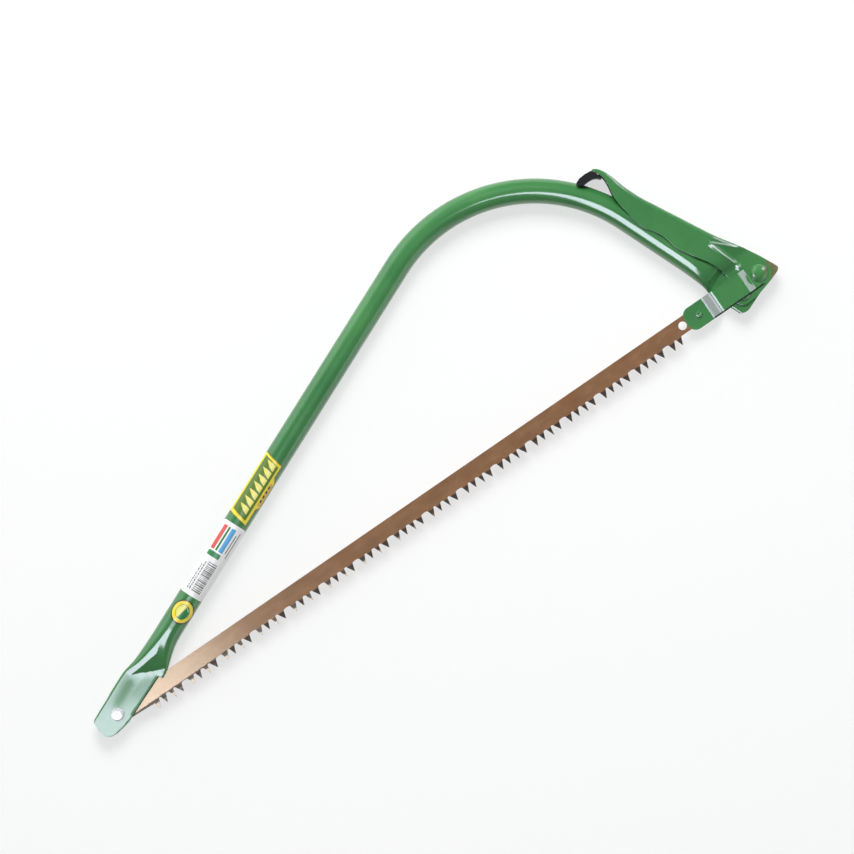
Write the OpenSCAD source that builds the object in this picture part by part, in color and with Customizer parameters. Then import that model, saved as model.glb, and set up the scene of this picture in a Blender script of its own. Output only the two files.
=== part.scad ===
// Bow saw: bent steel tube frame, toothed blade and an over-centre tension lever.
// The saw lies flat. Datum: centre of the blade's open spare hole, at mid-thickness,
// +X along the blade to the lever end, +Y towards the bow, +Z out of the saw's plane.
// Millimetres throughout. Shapes are drawn from the nose pin and moved to the datum last.

/* [Blade] */
// Distance from the nose pin to the link pin
blade_span = 530; // [400:1:900]
// Thickness of the blade strip
blade_thick = 0.8; // [0.6:0.05:1.2]
// Top edge above the line through the pins
blade_top = 6.5; // [5:0.1:12]
// Underside of the strip where the wide gullets are cut
gullet_y = -5.9; // [-10:0.1:-4]
// Level of the tooth tips
tip_y = -12.5; // [-18:0.1:-10]
// Length of one group of four teeth with its wide gullet
group_pitch = 31.4; // [20:0.1:50]
// Where the first group starts
group_first = 27.1; // [20:0.1:60]
// Radius of the pin holes
blade_hole_r = 3.25; // [2:0.05:5]
// Distance from the link pin back to the spare hole, which is the datum
spare_back = 15; // [10:0.5:30]
// Radius of the clearance hole for the link pin
blade_slack_r = 3.5; // [2.5:0.05:5]

/* [Frame tube] */
// Outside radius of the tube
tube_r = 9.5; // [6:0.1:16]
// Wall of the tube
wall = 1.5; // [1:0.1:2.5]
// Slope of the long straight leg
leg_angle = 23.4; // [10:0.1:40]
// Length of the long leg from the nose pin to the bend
leg_len = 395.4; // [200:0.1:700]
// Radius of the bend's centre line
bend_r = 122.4; // [60:0.1:200]
// Slope of the short leg, measured downwards
drop_angle = 68.1; // [40:0.1:85]
// Half thickness of the flattened nose
nose_half = 2.0; // [1.8:0.05:3]
// Half thickness of the flattened lever end
heel_half = 1.6; // [1.5:0.05:3]

/* [Lever] */
// Lever pivot, X
pivot_x = 566.5; // [550:0.1:580]
// Lever pivot, Y
pivot_y = -5.0; // [-8:0.1:0]
// Sheet thickness of lever and link plates
sheet = 1.5; // [1:0.1:2]
// Outside half width of the channel
channel_half = 11.3; // [10:0.1:14]
// Outer face of the pinched ears
ear_half = 3.15; // [3:0.05:5]

/* [Link] */
// Link pivot on the lever, X
eye_x = 584.6; // [570:0.1:600]
// Link pivot on the lever, Y
eye_y = 0.3; // [-5:0.1:5]
// Half width of the link plates
link_half = 9.2; // [7:0.1:12]
// Inner face of the raised part of the link plates
hump_in = 7.8; // [6:0.1:9]

/* [Fits] */
// Radial running clearance
run = 0.05; // [0.01:0.01:0.1]
// Radius of the lever and link rivets
rivet_r = 3.0; // [2:0.1:4]
// Radius of the nose pin
nose_pin_r = 3.2; // [2:0.05:4]
// Radius of the link pin's shank
link_pin_r = 2.2; // [1.5:0.05:3]

/* [Labels] */
// Thickness of the printed film
film = 0.15; // [0.1:0.01:0.3]

/* [Hidden] */
$fn = 64;
// Small offset that keeps faces from coinciding
face_offset = 0.02;
// Gap between stacked faces, such as a plate and a rivet head
face_gap = 0.05;

lever_pivot = [pivot_x, pivot_y];
link_eye = [eye_x, eye_y];

// Part to show

// ---- shared helpers ---------------------------------------------------------
module at_datum() translate([spare_back - blade_span, 0, 0]) children();

// Local frame whose X runs from a start point at an angle in the saw's plane
module along(start, angle) translate(start) rotate([0, 0, angle]) children();

// Extrusion reaching half_height to each side of mid-thickness
module mid_slab(half_height)
    translate([0, 0, -half_height]) linear_extrude(height = 2 * half_height) children();

// Through hole in the frame, for a pin or rivet of the given radius
module frame_bore(pin_r) translate([0, 0, -12]) cylinder(r = pin_r + run, h = 24);

function left_of(dir) = [-dir[1], dir[0]];
function mix(from, to, part) = from * (1 - part) + to * part;
function reversed(list) = [for (i = [len(list) - 1:-1:0]) list[i]];
// Closed outline between two edges that run the same way
function band(edge_a, edge_b) = concat(edge_a, reversed(edge_b));
// Closed outline from its upper half, repeated below the X axis
function with_mirror(upper) = band(upper, [for (p = upper) [p[0], -p[1]]]);
// Two triangles for one four-cornered face
function quad(a, b, c, d) = [[a, b, c], [a, c, d]];
// Triangles turned to face the other way, with their point numbers shifted
function flipped(faces, shift = 0) =
    [for (f = faces) [f[2] + shift, f[1] + shift, f[0] + shift]];

// ---- frame tube -------------------------------------------------------------
leg_dir = [cos(leg_angle), sin(leg_angle)];
drop_dir = [cos(drop_angle), -sin(drop_angle)];
leg_start = [0, 0.9];
// The bend is tangent to both straight legs
bend_centre = leg_start + leg_len * leg_dir - bend_r * left_of(leg_dir);
drop_start = bend_centre + bend_r * left_of(drop_dir);
// Where the long leg becomes a plain round tube
round_start = 80;
// Length of the short leg's round part
drop_round = 33.5;
heel_start = drop_start + drop_round * drop_dir;
// Length from heel_start to the square cut
heel_len = 82.3;
heel_corner_r = 9;
heel_corner_y = -4.2;
// Swing clearance radius of the heel about the lever pivot
heel_swing_r = 13.9;
// The straight legs run this far into the bend
lap = 0.5;
// The bend's wall is this much thinner on each face than the legs' wall
bend_relief = 0.06;
// Half height of the slabs that trim the tube ends
trim_half = 15;
// Gap between the blade and each side of its slit
slit_gap = 0.1;

// Flattened sections: [distance along the leg, half thickness, centre offset]
// Nose: flat as far as the crease, then swelling back to the round tube
nose_stations = [
    [-26, nose_half, -1.3], [26, nose_half, -1.3], [30, 2.2, -1.6], [36, 3.1, -2.1],
    [42, 4.5, -2.4], [48, 6.3, -2.2], [54, 7.9, -1.7], [60, 8.9, -1.0],
    [66, 9.3, -0.5], [72, 9.42, -0.1], [78, 9.43, 0], [81, 9.43, 0]];
// Lever end: round, then pinched flat where the lever is pivoted
heel_stations = [
    [-1, 9.43, 0], [19, 9.43, 0], [25, 9.35, 0], [31, 8.9, 0.1], [37, 7.9, 0.4],
    [41.5, 6.4, 0.8], [45.2, 4.5, 1.35], [47.6, 2.9, 1.8], [49.6, heel_half, 2.05],
    [heel_len + 6, heel_half, 2.05]];

// Outline the flattened nose is trimmed to, [X, Y]
nose_outline = [
    [60, 60], [20, 40], [14.5, 21.4], [8, 18.2], [0, 14.2], [-10, 9.8], [-17.6, 6.2],
    [-18.6, 4.6], [-18.6, -4.4], [-17.6, -7.4], [-15.6, -9.9], [-12.6, -11.3], [-9, -11.5],
    [-2.5, -10.6], [3.3, -9.4], [9.2, -7.3], [20, -2.8], [30, 1.1], [40, 5.1], [42.2, 5.6],
    [43.2, 2.6], [80, 14], [120, 60]];
// Slit in the lower fold that the blade enters through, [X, Y]
slit_outline = [[-14, -14], [54, -14], [54, 9.4], [30, 8.6], [-14, 8.2]];

// Width of a flattened tube whose perimeter stays that of the round tube
function flat_width(half) = PI * tube_r - PI * half + 2 * half;

// Segments in each rounded end of a section, and points in the whole section
end_steps = 8;
section_count = 2 * (end_steps + 1);

// Closed section: two half round ends joined by flats
function oblong(half, width, offset) =
    [for (end = [1, -1]) for (k = [0:end_steps])
        let (a = -90 * end + 180 * k / end_steps)
        [offset + end * (width / 2 - half) + half * cos(a), half * sin(a)]];

// Points of every section, set in from the tube's outside by inset
function section_points(start, dir, stations, inset) =
    [for (s = stations)
        for (p = oblong(s[1] - inset, flat_width(s[1]) - 2 * inset, s[2]))
            let (place = start + dir * s[0] + left_of(dir) * p[0])
            [place[0], place[1], p[1]]];

// Hollow loft through the stations, from start in direction dir
module flattened(start, dir, stations) {
    m = section_count;
    inner = len(stations) * m;
    last = inner - m;
    skin = [for (i = [0:len(stations) - 2]) for (k = [0:m - 1])
        let (next = (k + 1) % m, a = i * m, b = a + m)
        each quad(a + k, b + k, b + next, a + next)];
    near = [for (k = [0:m - 1]) let (next = (k + 1) % m)
        each quad(k, next, inner + next, inner + k)];
    far = [for (k = [0:m - 1]) let (a = last + k, b = last + (k + 1) % m)
        each quad(b, a, inner + a, inner + b)];
    polyhedron(
        points = concat(section_points(start, dir, stations, 0),
                        section_points(start, dir, stations, wall)),
        faces = concat(skin, flipped(skin, inner), near, far),
        convexity = 10);
}

module nose_end() {
    intersection() {
        flattened(leg_start, leg_dir, nose_stations);
        mid_slab(trim_half) polygon(nose_outline);
    }
}

module long_leg() {
    along(leg_start, leg_angle) rotate([0, 90, 0]) translate([0, 0, round_start])
        difference() {
            cylinder(r = tube_r, h = leg_len - round_start + lap);
            translate([0, 0, -1]) cylinder(r = tube_r - wall, h = leg_len - round_start + 2);
        }
}

module bend() {
    along(bend_centre, 90 - drop_angle)
        rotate_extrude(angle = drop_angle + leg_angle)
            translate([bend_r, 0]) difference() {
                circle(r = tube_r - bend_relief);
                circle(r = tube_r - wall + bend_relief);
            }
}

module short_leg() {
    along(drop_start, -drop_angle) rotate([0, 90, 0])
        difference() {
            translate([0, 0, -lap]) cylinder(r = tube_r, h = drop_round + lap);
            translate([0, 0, -1]) cylinder(r = tube_r - wall, h = drop_round + 2);
        }
}

module heel_end() {
    difference() {
        flattened(heel_start, drop_dir, heel_stations);
        // square cut with a rounded corner on the side towards the nose
        along(heel_start, -drop_angle) mid_slab(trim_half) difference() {
            translate([heel_len - 12, -25]) square([30, 50]);
            union() {
                translate([heel_len - heel_corner_r, heel_corner_y]) circle(r = heel_corner_r);
                translate([heel_len - 14, heel_corner_y - heel_corner_r]) square([5, 40]);
                translate([heel_len - 14, heel_corner_y]) square([14, 22]);
            }
        }
        // the other corner is rounded about the pivot, so the link rivet's spacer swings past
        mid_slab(trim_half) difference() {
            along(heel_start, -drop_angle) translate([72, 2.6]) square([30, 30]);
            translate(lever_pivot) circle(r = heel_swing_r);
        }
    }
}

module frame_tube() at_datum() {
    color("forestgreen") difference() {
        union() {
            nose_end();
            long_leg();
            bend();
            short_leg();
            heel_end();
        }
        frame_bore(nose_pin_r);
        mid_slab(blade_thick / 2 + slit_gap) polygon(slit_outline);
        translate(lever_pivot) frame_bore(rivet_r);
    }
}

// ---- nose pin ---------------------------------------------------------------
pin_groove_r = 2.5;
pin_groove_low = -3.3;
pin_groove_high = -2.4;
// Underside of the pin's head, which is on the +Z side
pin_head_z = nose_half + face_gap;

// Turned profile, [radius, Z]
nose_pin_profile = [
    [0, -4.6], [2.6, -4.6], [nose_pin_r, -4.1],
    [nose_pin_r, pin_groove_low], [pin_groove_r, pin_groove_low],
    [pin_groove_r, pin_groove_high], [nose_pin_r, pin_groove_high],
    [nose_pin_r, pin_head_z], [4.9, pin_head_z], [4.9, 2.9], [4.6, 3.35],
    [3.9, 3.7], [2.8, 3.95], [1.1, 4.05], [0.8, 3.6], [0, 3.5]];

module nose_pin() at_datum() {
    color("gainsboro") rotate_extrude() polygon(nose_pin_profile);
}

// Open ring in the pin's groove, its mouth towards +X
module nose_pin_clip() at_datum() {
    mouth = 3.8;
    color("dimgray") translate([0, 0, pin_groove_low + face_gap]) difference() {
        cylinder(r = 5.2, h = pin_groove_high - pin_groove_low - 2 * face_gap);
        translate([0, 0, -1]) cylinder(r = pin_groove_r + run, h = 3);
        translate([0, -mouth / 2, -1]) cube([8, mouth, 3]);
    }
}

// ---- blade ------------------------------------------------------------------
// Teeth of a group: [left root, tip, right root] from the group's start, tip above tip_y
teeth = [[0, 1.9, 4.7, 0], [7.0, 8.9, 11.0, 0.6], [14.2, 16.6, 17.6, 0], [20.2, 23.5, 25.2, 0.3]];
full_groups = 15;
root_y = gullet_y - 1.1;
tip_half = 0.25;
// Level of the gullet floors where they run down towards the teeth
floor_side_y = gullet_y - 0.35;
// Underside of the strip at the nose, before the teeth
nose_edge_y = -7.3;
// Link pin's clearance hole from the end of the span
slack_offset = [1.05, -0.45];

function group_start(i) = group_first + i * group_pitch;
function tooth(start, t) = [
    [start + t[0], root_y],
    [start + t[1] - tip_half, tip_y + t[3]],
    [start + t[1] + tip_half, tip_y + t[3]],
    [start + t[2], root_y]];
// Arched floor from one tooth's root to the next
function floor_arc(from, to) =
    [for (k = [1:3]) [from + (to - from) * k / 4, k == 2 ? gullet_y : floor_side_y]];
// The first teeth of a group, with the floors between them
function tooth_group(start, count) = [for (i = [0:count - 1]) each concat(
    tooth(start, teeth[i]),
    i < count - 1 ? floor_arc(start + teeth[i][2], start + teeth[i + 1][0]) : [])];
function wide_gullet(from, to) = [
    [from + 0.35, floor_side_y], [from + 1.1, gullet_y],
    [to - 1.1, gullet_y], [to - 0.35, floor_side_y]];

tooth_edge = concat(
    [[-7, nose_edge_y], [group_first - 3, nose_edge_y], [group_first - 0.8, -7.6]],
    [for (i = [0:full_groups - 1]) each concat(
        tooth_group(group_start(i), 4),
        wide_gullet(group_start(i) + teeth[3][2], group_start(i + 1)))],
    tooth_group(group_start(full_groups), 2),
    [[group_start(full_groups) + 11.8, gullet_y]]);
// Rest of the outline: round the lever end, along the top and round the nose end
plain_edge = [
    [536.5, gullet_y], [538.6, gullet_y + 0.9], [539.3, gullet_y + 2.8],
    [539.3, blade_top - 2.6], [538.5, blade_top - 0.8], [536.5, blade_top],
    [-6, blade_top], [-8.2, blade_top - 1.4], [-9.3, blade_top - 4], [-9.3, -4], [-8.6, -6.2]];

module saw_blade() at_datum() {
    color("saddlebrown") mid_slab(blade_thick / 2) difference() {
        polygon(concat(tooth_edge, plain_edge));
        circle(r = blade_hole_r);
        translate([blade_span - spare_back, 0]) circle(r = blade_hole_r);
        // over-size hole: the pin keeps play while the lever swings
        translate([blade_span, 0] + slack_offset) circle(r = blade_slack_r);
    }
}

// ---- tension lever ----------------------------------------------------------
// Stations down the channel: [open edge X, Y, back edge X, Y]
lever_stations = [
    [524.6, 134.2, 525.4, 135.2], [526.6, 131.2, 528.4, 133.4], [528.0, 127.2, 531.2, 129.6],
    [528.5, 121.6, 533.9, 123.2], [527.7, 115.4, 536.0, 116.4], [526.9, 110.4, 537.7, 111.0],
    [526.8, 105, 539.6, 105], [527.6, 98, 542.3, 98], [528.7, 91, 545.8, 91],
    [530.3, 83, 550.2, 83.5], [532.6, 76.5, 554.0, 76], [536.4, 71.5, 557.6, 70],
    [540.2, 64.5, 560.6, 64], [542.4, 56, 565.0, 56], [543.8, 50.5, 568.2, 50],
    [546.6, 45.3, 571.0, 45], [549.6, 40.6, 573.6, 40.6]];
open_edge = [for (s = lever_stations) [s[0], s[1]]];
back_edge = [for (s = lever_stations) [s[2], s[3]]];
// The same two edges carried on down to the ears, [X, Y]
low_open_edge = [
    [549.6, 40.6], [552.6, 36.1], [555.4, 31.8], [558.2, 27.0],
    [560.6, 21.8], [562.2, 17.2], [563.4, 12.6], [564, 10.2]];
low_back_edge = [
    [573.6, 40.6], [576.6, 36.2], [579.6, 31.8], [582.8, 27.2],
    [586.0, 22.0], [588.6, 17.4], [590.8, 13.2], [592.0, 10.8]];

// Two creases spread downwards from one point, crease_out on the +X side
crease_top = [566.2, 39.2];
crease_in = [574.6, 14.5];
crease_out = [584.4, 24.4];
// Outer face of the pressed wall in three zones, each [Y, Z]
// Over the tube: follows the tube as it is pinched flat
over_tube = [
    [10, ear_half], [13.5, ear_half], [17, 5.0], [21, 7.9],
    [25, 9.0], [30, 10.0], [36, 10.9], [40, channel_half]];
// Pocket between the creases, leading from the full channel down to the ears
pocket = [[19, ear_half], [40.6, channel_half - 0.3]];
// Rim beyond the outer crease
rim = [[19, ear_half + 0.3], [40.6, channel_half]];

function ease(t) = t <= 0 ? 0 : t >= 1 ? 1 : t * t * (3 - 2 * t);
// Distance of p from the line a to b, positive on the right-hand side
function side(p, a, b) = cross(p - a, b - a) / norm(b - a);
// Height of the wall's outer face, blended across the inner crease
function wall_z(p) = let (
    past_inner = -side(p, crease_top, crease_in),
    zone = side(p, crease_top, crease_out) < 0 ? rim : pocket)
    mix(lookup(p[1], over_tube), lookup(p[1], zone), ease((past_inner + 0.6) / 4.2));

// Rows of the pressed wall near the ears, each row evenly split between its edges
rows = 15;
cols = 14;
function row_point(edge, row) = let (
    place = row / (rows - 1) * (len(edge) - 1),
    i = min(floor(place), len(edge) - 2))
    mix(edge[i], edge[i + 1], place - i);

// Pressed wall between two surfaces, z_sign +1 for the +Z side, -1 for the -Z side
module pressed_wall(z_sign) {
    outer = [for (r = [0:rows - 1]) for (c = [0:cols - 1])
        let (p = mix(row_point(low_open_edge, r), row_point(low_back_edge, r), c / (cols - 1)))
        [p[0], p[1], z_sign * (wall_z(p) - face_offset)]];
    inner = [for (p = outer) [p[0], p[1], p[2] - z_sign * (sheet - 2 * face_offset)]];
    shift = rows * cols;
    skin = [for (r = [0:rows - 2]) for (c = [0:cols - 2]) let (a = r * cols + c)
        each quad(a, a + 1, a + cols + 1, a + cols)];
    ring = concat(
        [for (c = [0:cols - 1]) c],
        [for (r = [1:rows - 1]) r * cols + cols - 1],
        [for (c = [cols - 2:-1:0]) (rows - 1) * cols + c],
        [for (r = [rows - 2:-1:1]) r * cols]);
    rim_faces = [for (k = [0:len(ring) - 1])
        let (a = ring[k], b = ring[(k + 1) % len(ring)])
        each quad(b, a, shift + a, shift + b)];
    faces = concat(skin, flipped(skin, shift), rim_faces);
    polyhedron(
        points = concat(outer, inner),
        faces = z_sign > 0 ? faces : flipped(faces),
        convexity = 10);
}

// Two flat sheets, their outer faces at +outer and -outer
module sheet_pair(outer)
    for (z = [outer - sheet, -outer])
        translate([0, 0, z]) linear_extrude(height = sheet) children();

// Back of the channel, from the ears up to the finger hook
web_outer = concat(
    [[584.4, 24.6]],
    [for (i = [3:-1:1]) low_back_edge[i]],
    [for (i = [len(back_edge) - 1:-1:1]) back_edge[i]]);
web_inner = [for (p = web_outer) p - [1.36, 0.7]];
// Half of the web's width limit, [Y, Z]
web_limit = [[15, 2.2], [40.6, channel_half - 0.12], [44, 14], [150, 14]];

// Back web, getting narrower towards the ears
module back_web() {
    intersection() {
        mid_slab(channel_half - 0.01) polygon(band(web_outer, web_inner));
        translate([500, 0, 0]) rotate([90, 0, 90]) linear_extrude(height = 120)
            polygon(with_mirror(web_limit));
    }
}

// Centre line of the finger hook, [X, Y]
hook_path = [
    [533.9, 119.2], [533.0, 122.6], [531.6, 126.4], [529.4, 129.8],
    [526.0, 132.0], [521.4, 132.9], [516.6, 132.8], [512.9, 132.0]];
hook_thick = 1.6;
hook_half = 8.5;

// Ribbon of even thickness along a path
module ribbon(path, thick) {
    for (i = [0:len(path) - 2]) hull() {
        translate(path[i]) circle(d = thick, $fn = 12);
        translate(path[i + 1]) circle(d = thick, $fn = 12);
    }
}

ear_round_r = 9.3;
ear_outline = concat(
    [[563.8, 12.2], [571.0, 13.2], [576.5, 19.8], [587.0, 20.4], [590.0, 14.6], [592.5, 10],
     [595.0, 5], [597.4, 0.2], [599.1, -3.4], [598.6, -4.9], [596.9, -6.1], [590.0, -8.9],
     [584.2, -10.6], [577.5, -12.4]],
    [for (a = [-60:-15:-210]) lever_pivot + ear_round_r * [cos(a), sin(a)]],
    [[560.4, 4.6]]);

module ear_shape() {
    difference() {
        polygon(ear_outline);
        translate(lever_pivot) circle(r = rivet_r + run);
        translate(link_eye) circle(r = rivet_r + run);
    }
}

module tension_lever() at_datum() {
    color("green") union() {
        sheet_pair(channel_half) polygon(band(open_edge, back_edge));
        pressed_wall(1);
        pressed_wall(-1);
        sheet_pair(ear_half) ear_shape();
        back_web();
        mid_slab(hook_half) ribbon(hook_path, hook_thick);
    }
}

// ---- grip sleeve ------------------------------------------------------------
sleeve_half = 10.3;
// Gap round the hook inside the sleeve
hook_gap = 0.1;
// Gap between the sleeve and the tube
sleeve_tube_gap = 0.12;
sleeve_outline = [
    [529.6, 131.2], [526.6, 133.7], [523, 135.0], [518, 135.4], [513, 135.0], [509.6, 133.4],
    [509.0, 131.0], [513.0, 128.9], [518, 129.3], [521.6, 129.0], [524.6, 127.6],
    [526.8, 125.4], [528.6, 126.4]];
// Room for the channel walls
channel_room = [
    [523.5, 136.5], [525.5, 131.1], [527.3, 126.9], [527.9, 121], [540, 121], [540, 136.5]];

// Moulded sleeve pushed over the hook
module lever_grip_sleeve() at_datum() {
    color("black") difference() {
        mid_slab(sleeve_half) polygon(sleeve_outline);
        // pocket for the hook
        mid_slab(hook_half + hook_gap)
            ribbon(concat([[532.0, 127.2]], [for (i = [3:7]) hook_path[i]]),
                   hook_thick + 2 * hook_gap);
        // hollow that sits against the tube's bend
        translate(bend_centre) rotate_extrude(angle = 90)
            translate([bend_r, 0]) circle(r = tube_r + sleeve_tube_gap);
        mid_slab(12) polygon(channel_room);
    }
}

// ---- rivets and spacer ------------------------------------------------------
// Inner faces of the link plates, at the lever's ears and at the blade
eye_in = ear_half + face_gap;
link_in = blade_thick / 2 + 0.06;

// Rivet with a domed head at each end; grip_half reaches to the underside of a head
module dome_rivet(grip_half, head_r, head_h) {
    dome = [for (a = [60:-10:0]) [
        head_r * sin(a) / sin(60),
        grip_half + head_h * (cos(a) - cos(60)) / (1 - cos(60))]];
    rotate_extrude() polygon(with_mirror(concat([[rivet_r, grip_half]], dome)));
}

module lever_pivot_rivet() at_datum() {
    color("darkgreen") translate(lever_pivot)
        dome_rivet(grip_half = ear_half + face_gap, head_r = 6.4, head_h = 3.6);
}

module link_pivot_rivet() at_datum() {
    color("darkgreen") translate(link_eye)
        dome_rivet(grip_half = eye_in + sheet + face_gap, head_r = 6.9, head_h = 4);
}

// Collar between the two ears
module link_pivot_spacer() at_datum() {
    spacer_half = ear_half - sheet - 0.03;
    color("gray") translate([eye_x, eye_y, -spacer_half]) difference() {
        cylinder(r = 4.7, h = 2 * spacer_half);
        translate([0, 0, -1]) cylinder(r = rivet_r + run, h = 8);
    }
}

// ---- link plates and pin ----------------------------------------------------
link_start_x = 518.6;
link_corner_r = 6;
// Side profile of the +Z plate: [X, Z of the inner face, X shift of the outer face]
link_profile = [
    [510, link_in, 0], [538.3, link_in, -0.6], [539.5, link_in + 0.5, -0.3],
    [546.2, hump_in - 0.5, -0.3], [547.4, hump_in, -0.6], [569.8, hump_in, 0.6],
    [571.0, hump_in - 0.5, 0.3], [575.3, eye_in + 0.45, 0.3], [576.5, eye_in, 0.6],
    [600, eye_in, 0]];

module link_plate() {
    difference() {
        intersection() {
            // outline seen along Z
            linear_extrude(height = 12) hull() {
                translate([link_start_x + link_corner_r, link_half - link_corner_r])
                    circle(r = link_corner_r);
                translate([link_start_x + link_corner_r, -link_half + link_corner_r])
                    circle(r = link_corner_r);
                translate(link_eye) circle(r = link_half - 0.1);
                translate([eye_x - 8, 0]) square([0.1, 2 * link_half], center = true);
            }
            // stepped strip
            rotate([90, 0, 0]) mid_slab(15) polygon(band(
                [for (p = link_profile) [p[0], p[1]]],
                [for (p = link_profile) [p[0] + p[2], p[1] + sheet]]));
        }
        translate([blade_span, 0, -1]) cylinder(r = link_pin_r + run, h = 6);
        translate([eye_x, eye_y, -1]) cylinder(r = rivet_r + run, h = 12);
    }
}

module link_plate_front() at_datum() color("green") link_plate();
module link_plate_back() at_datum() color("green") mirror([0, 0, 1]) link_plate();

module blade_link_pin() at_datum() {
    face = link_in + sheet;
    color("darkgreen") translate([blade_span, 0, 0]) rotate_extrude() polygon(with_mirror([
        [link_pin_r, face + face_gap], [2.9, face + face_gap], [2.4, face + 0.6],
        [1.5, face + 0.85], [0, face + 0.9]]));
}

// ---- labels -----------------------------------------------------------------
label_half_width = 9.3;
// Height of the shapes that cut the labels out of the film, on the +Z side
label_cut_h = 14;
round_label_r = 9.2;
round_label_centre = leg_start + 90.7 * leg_dir - 1.1 * left_of(leg_dir);

// Film round the long leg, between two distances along it
module film_ring(from, to) {
    along(leg_start, leg_angle) rotate([0, 90, 0]) translate([0, 0, from])
        difference() {
            cylinder(r = tube_r + face_offset + film, h = to - from);
            translate([0, 0, -1]) cylinder(r = tube_r + face_offset, h = to - from + 2);
        }
}

// Oblong label; the cutting box starts at box_from and overruns both ends
module label_strip(from, to, box_from) {
    intersection() {
        film_ring(from, to);
        along(leg_start, leg_angle) translate([box_from, -label_half_width, 0])
            cube([90, 2 * label_half_width, label_cut_h]);
    }
}

module label_round() at_datum() {
    color("gold") intersection() {
        film_ring(80, 101.5);
        translate(round_label_centre) cylinder(r = round_label_r, h = label_cut_h);
    }
}

module label_code() at_datum() color("white") label_strip(104, 167.2, box_from = 90);
module label_panel() at_datum() color("yellowgreen") label_strip(170, 227.2, box_from = 160);

frame_tube();
nose_pin();
nose_pin_clip();
saw_blade();
tension_lever();
lever_grip_sleeve();
lever_pivot_rivet();
link_pivot_rivet();
link_pivot_spacer();
link_plate_front();
link_plate_back();
blade_link_pin();
label_round();
label_code();
label_panel();
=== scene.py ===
"""Looks of a bow saw: a bent tube frame, its blade, and the lever that tensions it.

The saw lies flat with its thickness along Z. X runs along the blade from the nose pin to the
lever, and Y from the teeth up to the tube. Lengths are in millimetres until a mesh is made.
"""

import math

import bpy
import bmesh
import numpy as np
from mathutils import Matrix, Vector
from mathutils.geometry import delaunay_2d_cdt


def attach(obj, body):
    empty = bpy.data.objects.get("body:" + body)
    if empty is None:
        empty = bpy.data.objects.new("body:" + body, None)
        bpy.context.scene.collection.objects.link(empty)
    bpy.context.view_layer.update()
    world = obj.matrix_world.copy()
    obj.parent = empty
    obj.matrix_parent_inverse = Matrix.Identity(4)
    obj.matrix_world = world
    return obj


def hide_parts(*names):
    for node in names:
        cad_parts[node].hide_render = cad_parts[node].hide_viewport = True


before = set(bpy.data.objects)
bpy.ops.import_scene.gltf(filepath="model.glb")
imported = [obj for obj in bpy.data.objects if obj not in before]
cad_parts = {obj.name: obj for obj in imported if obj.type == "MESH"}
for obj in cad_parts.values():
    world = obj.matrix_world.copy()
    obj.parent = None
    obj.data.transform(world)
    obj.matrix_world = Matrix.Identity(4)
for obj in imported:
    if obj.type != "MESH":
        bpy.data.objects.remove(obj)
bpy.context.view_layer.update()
MM = 0.001
DATUM = 515.0  # shapes are drawn from the nose pin; the frame's origin is this far along X
SC = bpy.context.scene

# Dimensions that several pieces share
TUBE_R = 9.5
SHEET = 1.5           # thickness of the pressed sheet
CHANNEL_HALF = 11.3   # lever's half width where it is a full channel
EAR_HALF = 3.15       # and at the ears around the pivots
PIVOT_X, PIVOT_Y = 566.5, -5.0  # lever on the frame
LINK_X, LINK_Y = 584.6, 0.3     # link plates on the lever
LINK_PIN_X = 530
LINK_GAP = 0.46       # half the gap between the link plates at the blade


# ---------------------------------------------------------------- numbers and outlines
def ease(t):
    t = np.clip(t, 0.0, 1.0)
    return t * t * (3 - 2 * t)


def soft_interp(at, table, reach):
    """Looks up a table of (position, value), with its corners softened over the reach."""
    steps = (-reach, -reach / 2, 0, reach / 2, reach)
    return np.mean([np.interp(at + d, table[:, 0], table[:, 1]) for d in steps], 0)


def path_resample(points, step):
    p = np.array(points, float)
    s = np.r_[0, np.cumsum(np.linalg.norm(np.diff(p, axis=0), axis=1))]
    t = np.linspace(0, s[-1], max(2, int(s[-1] / step) + 1))
    return np.stack([np.interp(t, s, p[:, i]) for i in range(p.shape[1])], 1)


def smooth_path(points, passes):
    p = np.array(points, float)
    for _ in range(passes):
        q = p.copy()
        q[1:-1] = (p[:-2] + 2 * p[1:-1] + p[2:]) / 4
        p = q
    return p


def circle(cx, cy, r, n=64):
    angles = [2 * math.pi * i / n for i in range(n)]
    return [(cx + r * math.cos(a), cy + r * math.sin(a)) for a in angles]


def inside(x, y, ring):
    result = False
    for i in range(len(ring)):
        (ax, ay), (bx, by) = ring[i], ring[i - 1]
        if (ay > y) != (by > y) and x < (bx - ax) * (y - ay) / (by - ay) + ax:
            result = not result
    return result


def directed_edges(faces):
    for face in faces:
        for i in range(len(face)):
            yield face[i], face[(i + 1) % len(face)]


def border(edges):
    """Edges that no neighbouring face runs along the other way."""
    return [(a, b) for a, b in edges if (b, a) not in edges]


def ring_edges(start, count):
    return [(start + i, start + (i + 1) % count) for i in range(count)]


# ---------------------------------------------------------------- meshes
def new_object(name, verts, faces, mats, smooth=True, index=None):
    me = bpy.data.meshes.new(name)
    points = [((float(x) - DATUM) * MM, float(y) * MM, float(z) * MM) for x, y, z in verts]
    me.from_pydata(points, [], [list(map(int, f)) for f in faces])
    me.validate(clean_customdata=False)
    me.update()
    for m in mats:
        me.materials.append(m)
    if index is not None:
        me.polygons.foreach_set("material_index", np.array(index, np.int32))
    ob = bpy.data.objects.new(name, me)
    SC.collection.objects.link(ob)
    shade(ob, smooth=smooth)
    return ob


def shade(ob, sharp=None, smooth=True):
    """Smooth shading, split at edges over the sharp angle in degrees."""
    me = ob.data
    me.polygons.foreach_set("use_smooth", np.full(len(me.polygons), smooth))
    if sharp:
        me.set_sharp_from_angle(angle=math.radians(sharp))
    me.update()


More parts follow.
